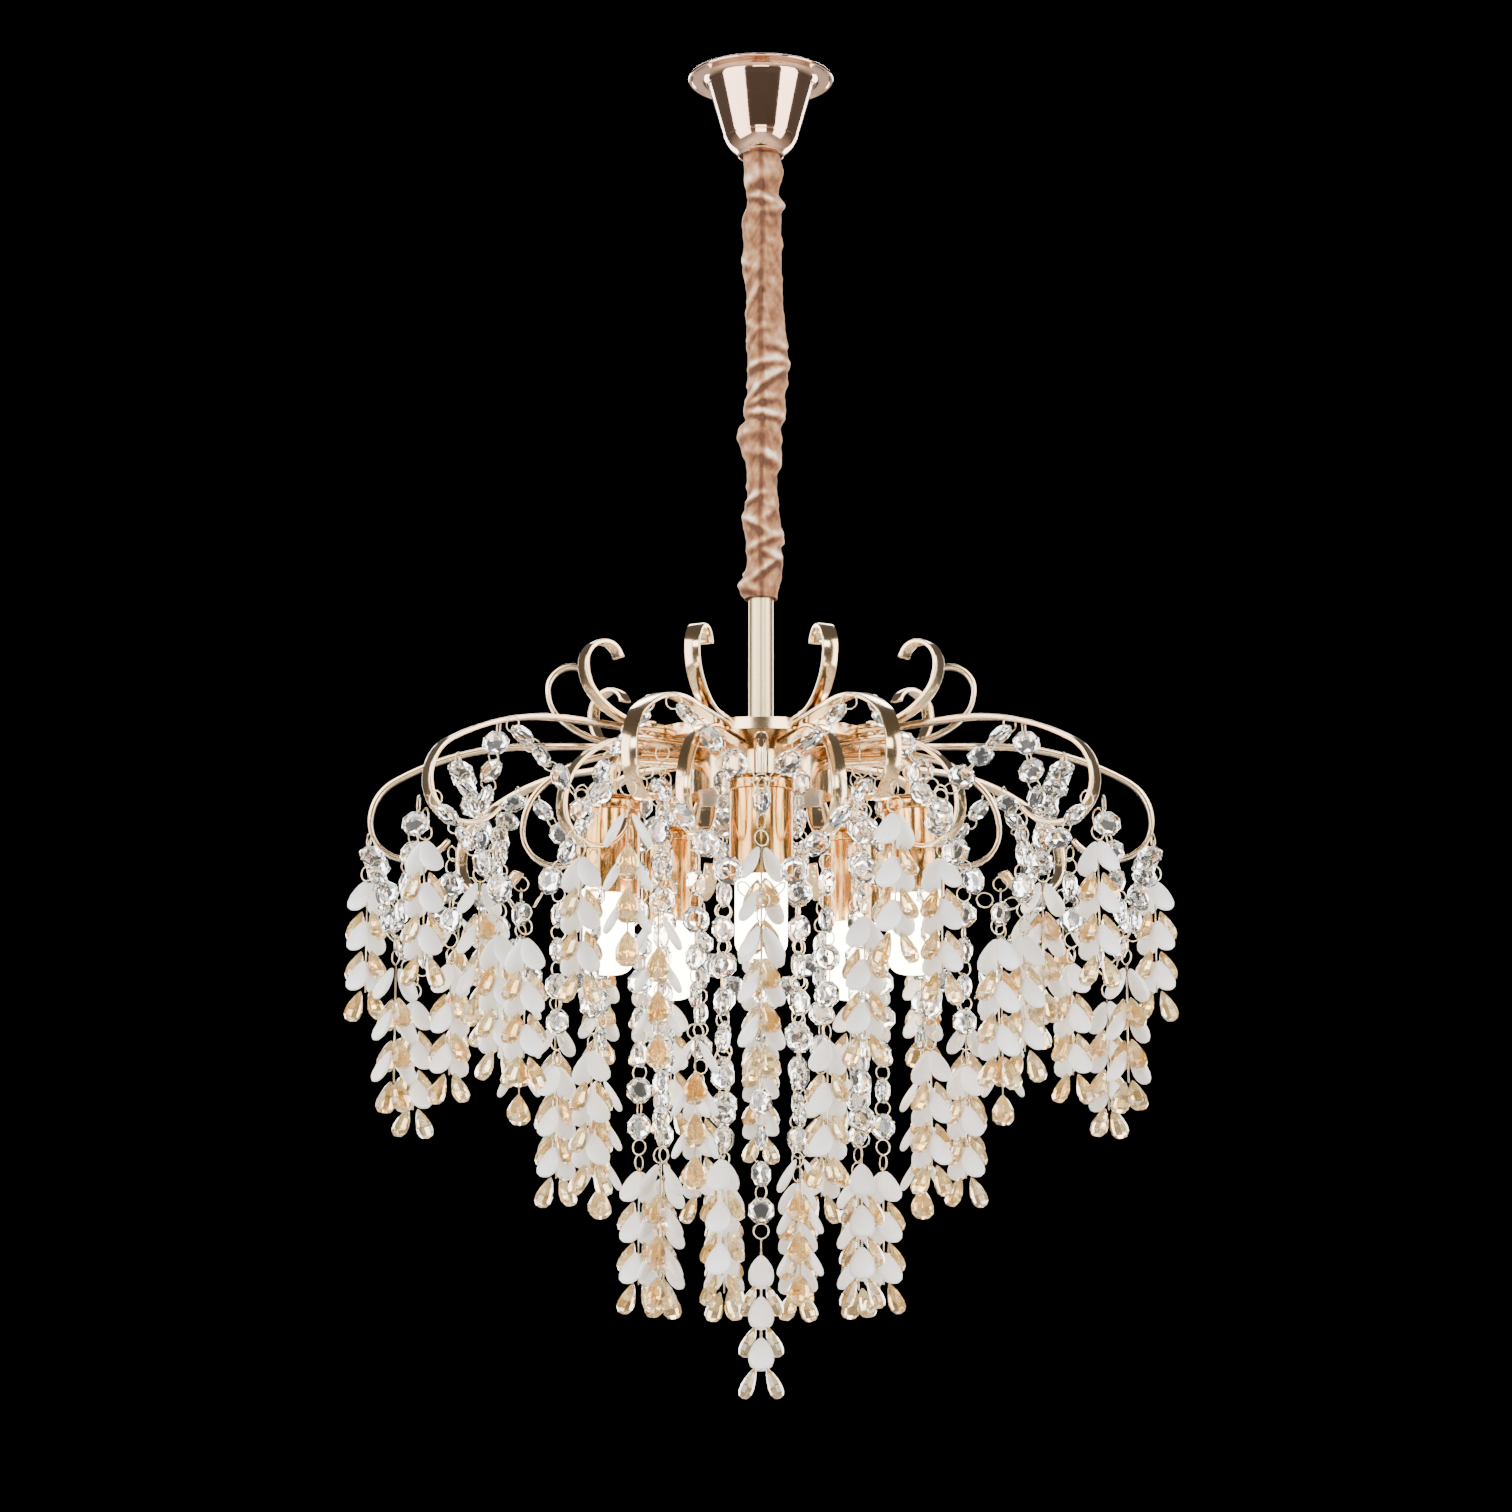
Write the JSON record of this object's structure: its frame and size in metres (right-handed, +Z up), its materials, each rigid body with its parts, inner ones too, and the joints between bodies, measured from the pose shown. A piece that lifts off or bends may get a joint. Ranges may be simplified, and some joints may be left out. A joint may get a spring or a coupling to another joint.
{
  "type": "crystal pendant chandelier",
  "caption": "Small crystal pendant chandelier: curved gold strip arms round a hub, downward tubular lamps, tiers of cut-glass strands and garlands, fabric-covered chain and bell canopy.",
  "frame": {"origin": "on the ceiling, centre of the ceiling bracket's upper face", "axes": "+Z up into the ceiling, +X along the bracket and one arm, -Y towards the front lamp"},
  "size_m": [0.4607, 0.4411, 0.7563],
  "materials": {
    "plated_steel": "bright zinc plating",
    "rose_gold_plating": "polished rose gold plating",
    "champagne_gold_plating": "polished champagne gold plating",
    "brushed_pale_gold": "brushed pale gold plating",
    "polished_gold": "polished gold plating",
    "gathered_velvet": "tan pile fabric, gathered over the chain",
    "moulded_plastic": "moulded, heat-resistant",
    "opal_lamp_glass": "opal white, lit",
    "cut_crystal": "cut and polished clear, frosted and champagne glass"
  },
  "bodies": {
    "ceiling": {"ceiling_bracket": "plated_steel", "ceiling_hook": "plated_steel", "terminal_block": "moulded_plastic", "chain_links": "plated_steel", "chain_sleeve": "gathered_velvet"},
    "canopy": {"canopy": "rose_gold_plating", "canopy_screws": "plated_steel"},
    "lowest_link": {"chain_bottom_link": "plated_steel"},
    "chandelier": {"stem_loop": "brushed_pale_gold", "stem_tube": "brushed_pale_gold", "frame_plate": "champagne_gold_plating", "hub_drum": "champagne_gold_plating", "hub_base": "champagne_gold_plating", "main_arms": "champagne_gold_plating", "upper_scrolls": "champagne_gold_plating", "lower_scrolls": "champagne_gold_plating", "arm_rivets": "champagne_gold_plating", "lamp_brackets": "champagne_gold_plating", "lamp_caps": "polished_gold", "candle_sleeves": "polished_gold", "lampholders": "moulded_plastic", "inner_drops": "cut_crystal", "outer_swags": "cut_crystal", "inner_swags": "cut_crystal"},
    "lamp_1": {"bulb_1": "opal_lamp_glass"},
    "lamp_2": {"bulb_2": "opal_lamp_glass"},
    "lamp_3": {"bulb_3": "opal_lamp_glass"},
    "lamp_4": {"bulb_4": "opal_lamp_glass"},
    "lamp_5": {"bulb_5": "opal_lamp_glass"},
    "end_drop_01": {"end_drop_01": "cut_crystal"},
    "end_drop_02": {"end_drop_02": "cut_crystal"},
    "end_drop_03": {"end_drop_03": "cut_crystal"},
    "end_drop_04": {"end_drop_04": "cut_crystal"},
    "end_drop_05": {"end_drop_05": "cut_crystal"},
    "end_drop_06": {"end_drop_06": "cut_crystal"},
    "end_drop_07": {"end_drop_07": "cut_crystal"},
    "end_drop_08": {"end_drop_08": "cut_crystal"},
    "end_drop_09": {"end_drop_09": "cut_crystal"},
    "end_drop_10": {"end_drop_10": "cut_crystal"},
    "tip_drop_01": {"tip_drop_01": "cut_crystal"},
    "tip_drop_02": {"tip_drop_02": "cut_crystal"},
    "tip_drop_03": {"tip_drop_03": "cut_crystal"},
    "tip_drop_04": {"tip_drop_04": "cut_crystal"},
    "tip_drop_05": {"tip_drop_05": "cut_crystal"},
    "tip_drop_06": {"tip_drop_06": "cut_crystal"},
    "tip_drop_07": {"tip_drop_07": "cut_crystal"},
    "tip_drop_08": {"tip_drop_08": "cut_crystal"},
    "tip_drop_09": {"tip_drop_09": "cut_crystal"},
    "tip_drop_10": {"tip_drop_10": "cut_crystal"},
    "scroll_drop_01": {"scroll_drop_01": "cut_crystal"},
    "scroll_drop_02": {"scroll_drop_02": "cut_crystal"},
    "scroll_drop_03": {"scroll_drop_03": "cut_crystal"},
    "scroll_drop_04": {"scroll_drop_04": "cut_crystal"},
    "scroll_drop_05": {"scroll_drop_05": "cut_crystal"},
    "scroll_drop_06": {"scroll_drop_06": "cut_crystal"},
    "scroll_drop_07": {"scroll_drop_07": "cut_crystal"},
    "scroll_drop_08": {"scroll_drop_08": "cut_crystal"},
    "scroll_drop_09": {"scroll_drop_09": "cut_crystal"},
    "scroll_drop_10": {"scroll_drop_10": "cut_crystal"},
    "centre_strand": {"centre_strand": "cut_crystal"}
  },
  "joints": [
    {"name": "canopy_slide", "type": "slide", "parent": "ceiling", "child": "canopy", "axis": [0, 0, -1], "range_m": [0, 0.12]},
    {"name": "lowest_link_swing", "type": "hinge", "parent": "ceiling", "child": "lowest_link", "pos_m": [0, 0, -0.2767], "axis": [0, 1, 0], "range_deg": [-4, 4]},
    {"name": "stem_loop_swing", "type": "hinge", "parent": "lowest_link", "child": "chandelier", "pos_m": [0, 0, -0.2917], "axis": [1, 0, 0], "range_deg": [-4, 4]},
    {"name": "bulb_1_turn", "type": "hinge", "parent": "chandelier", "child": "lamp_1", "pos_m": [0.05173, 0.07119, -0.4655], "axis": [0, 0, -1], "range_deg": [0, 360]},
    {"name": "bulb_2_turn", "type": "hinge", "parent": "chandelier", "child": "lamp_2", "pos_m": [-0.05173, 0.07119, -0.4655], "axis": [0, 0, -1], "range_deg": [0, 360]},
    {"name": "bulb_3_turn", "type": "hinge", "parent": "chandelier", "child": "lamp_3", "pos_m": [-0.08369, -0.02719, -0.4655], "axis": [0, 0, -1], "range_deg": [0, 360]},
    {"name": "bulb_4_turn", "type": "hinge", "parent": "chandelier", "child": "lamp_4", "pos_m": [0, -0.088, -0.4655], "axis": [0, 0, -1], "range_deg": [0, 360]},
    {"name": "bulb_5_turn", "type": "hinge", "parent": "chandelier", "child": "lamp_5", "pos_m": [0.08369, -0.02719, -0.4655], "axis": [0, 0, -1], "range_deg": [0, 360]},
    {"name": "end_drop_01_swing", "type": "hinge", "parent": "chandelier", "child": "end_drop_01", "pos_m": [0.219, 0, -0.454], "axis": [0, -1, 0], "range_deg": [-8, 12]},
    {"name": "end_drop_02_swing", "type": "hinge", "parent": "chandelier", "child": "end_drop_02", "pos_m": [0.17717, 0.12873, -0.454], "axis": [0.5878, -0.809, 0], "range_deg": [-8, 12]},
    {"name": "end_drop_03_swing", "type": "hinge", "parent": "chandelier", "child": "end_drop_03", "pos_m": [0.06767, 0.20828, -0.454], "axis": [0.9511, -0.309, 0], "range_deg": [-8, 12]},
    {"name": "end_drop_04_swing", "type": "hinge", "parent": "chandelier", "child": "end_drop_04", "pos_m": [-0.06767, 0.20828, -0.454], "axis": [0.9511, 0.309, 0], "range_deg": [-8, 12]},
    {"name": "end_drop_05_swing", "type": "hinge", "parent": "chandelier", "child": "end_drop_05", "pos_m": [-0.17717, 0.12873, -0.454], "axis": [0.5878, 0.809, 0], "range_deg": [-8, 12]},
    {"name": "end_drop_06_swing", "type": "hinge", "parent": "chandelier", "child": "end_drop_06", "pos_m": [-0.219, 0, -0.454], "axis": [0, 1, 0], "range_deg": [-8, 12]},
    {"name": "end_drop_07_swing", "type": "hinge", "parent": "chandelier", "child": "end_drop_07", "pos_m": [-0.17717, -0.12873, -0.454], "axis": [-0.5878, 0.809, 0], "range_deg": [-8, 12]},
    {"name": "end_drop_08_swing", "type": "hinge", "parent": "chandelier", "child": "end_drop_08", "pos_m": [-0.06767, -0.20828, -0.454], "axis": [-0.9511, 0.309, 0], "range_deg": [-8, 12]},
    {"name": "end_drop_09_swing", "type": "hinge", "parent": "chandelier", "child": "end_drop_09", "pos_m": [0.06767, -0.20828, -0.454], "axis": [-0.9511, -0.309, 0], "range_deg": [-8, 12]},
    {"name": "end_drop_10_swing", "type": "hinge", "parent": "chandelier", "child": "end_drop_10", "pos_m": [0.17717, -0.12873, -0.454], "axis": [-0.5878, -0.809, 0], "range_deg": [-8, 12]},
    {"name": "tip_drop_01_swing", "type": "hinge", "parent": "chandelier", "child": "tip_drop_01", "pos_m": [0.172, 0, -0.452], "axis": [0, -1, 0], "range_deg": [-5, 6]},
    {"name": "tip_drop_02_swing", "type": "hinge", "parent": "chandelier", "child": "tip_drop_02", "pos_m": [0.13915, 0.1011, -0.452], "axis": [0.5878, -0.809, 0], "range_deg": [-5, 6]},
    {"name": "tip_drop_03_swing", "type": "hinge", "parent": "chandelier", "child": "tip_drop_03", "pos_m": [0.05315, 0.16358, -0.452], "axis": [0.9511, -0.309, 0], "range_deg": [-5, 6]},
    {"name": "tip_drop_04_swing", "type": "hinge", "parent": "chandelier", "child": "tip_drop_04", "pos_m": [-0.05315, 0.16358, -0.452], "axis": [0.9511, 0.309, 0], "range_deg": [-5, 6]},
    {"name": "tip_drop_05_swing", "type": "hinge", "parent": "chandelier", "child": "tip_drop_05", "pos_m": [-0.13915, 0.1011, -0.452], "axis": [0.5878, 0.809, 0], "range_deg": [-5, 6]},
    {"name": "tip_drop_06_swing", "type": "hinge", "parent": "chandelier", "child": "tip_drop_06", "pos_m": [-0.172, 0, -0.452], "axis": [0, 1, 0], "range_deg": [-5, 6]},
    {"name": "tip_drop_07_swing", "type": "hinge", "parent": "chandelier", "child": "tip_drop_07", "pos_m": [-0.13915, -0.1011, -0.452], "axis": [-0.5878, 0.809, 0], "range_deg": [-5, 6]},
    {"name": "tip_drop_08_swing", "type": "hinge", "parent": "chandelier", "child": "tip_drop_08", "pos_m": [-0.05315, -0.16358, -0.452], "axis": [-0.9511, 0.309, 0], "range_deg": [-5, 6]},
    {"name": "tip_drop_09_swing", "type": "hinge", "parent": "chandelier", "child": "tip_drop_09", "pos_m": [0.05315, -0.16358, -0.452], "axis": [-0.9511, -0.309, 0], "range_deg": [-5, 6]},
    {"name": "tip_drop_10_swing", "type": "hinge", "parent": "chandelier", "child": "tip_drop_10", "pos_m": [0.13915, -0.1011, -0.452], "axis": [-0.5878, -0.809, 0], "range_deg": [-5, 6]},
    {"name": "scroll_drop_01_swing", "type": "hinge", "parent": "chandelier", "child": "scroll_drop_01", "pos_m": [0.1125, 0, -0.4645], "axis": [0, -1, 0], "range_deg": [-3, 5]},
    {"name": "scroll_drop_02_swing", "type": "hinge", "parent": "chandelier", "child": "scroll_drop_02", "pos_m": [0.09101, 0.06613, -0.4645], "axis": [0.5878, -0.809, 0], "range_deg": [-3, 5]},
    {"name": "scroll_drop_03_swing", "type": "hinge", "parent": "chandelier", "child": "scroll_drop_03", "pos_m": [0.03476, 0.10699, -0.4645], "axis": [0.9511, -0.309, 0], "range_deg": [-3, 5]},
    {"name": "scroll_drop_04_swing", "type": "hinge", "parent": "chandelier", "child": "scroll_drop_04", "pos_m": [-0.03476, 0.10699, -0.4645], "axis": [0.9511, 0.309, 0], "range_deg": [-3, 5]},
    {"name": "scroll_drop_05_swing", "type": "hinge", "parent": "chandelier", "child": "scroll_drop_05", "pos_m": [-0.09101, 0.06613, -0.4645], "axis": [0.5878, 0.809, 0], "range_deg": [-3, 5]},
    {"name": "scroll_drop_06_swing", "type": "hinge", "parent": "chandelier", "child": "scroll_drop_06", "pos_m": [-0.1125, 0, -0.4645], "axis": [0, 1, 0], "range_deg": [-3, 5]},
    {"name": "scroll_drop_07_swing", "type": "hinge", "parent": "chandelier", "child": "scroll_drop_07", "pos_m": [-0.09101, -0.06613, -0.4645], "axis": [-0.5878, 0.809, 0], "range_deg": [-3, 5]},
    {"name": "scroll_drop_08_swing", "type": "hinge", "parent": "chandelier", "child": "scroll_drop_08", "pos_m": [-0.03476, -0.10699, -0.4645], "axis": [-0.9511, 0.309, 0], "range_deg": [-3, 5]},
    {"name": "scroll_drop_09_swing", "type": "hinge", "parent": "chandelier", "child": "scroll_drop_09", "pos_m": [0.03476, -0.10699, -0.4645], "axis": [-0.9511, -0.309, 0], "range_deg": [-3, 5]},
    {"name": "scroll_drop_10_swing", "type": "hinge", "parent": "chandelier", "child": "scroll_drop_10", "pos_m": [0.09101, -0.06613, -0.4645], "axis": [-0.5878, -0.809, 0], "range_deg": [-3, 5]},
    {"name": "centre_strand_swing", "type": "hinge", "parent": "chandelier", "child": "centre_strand", "pos_m": [0, 0, -0.4283], "axis": [0, 1, 0], "range_deg": [-6, 6]}
  ]
}
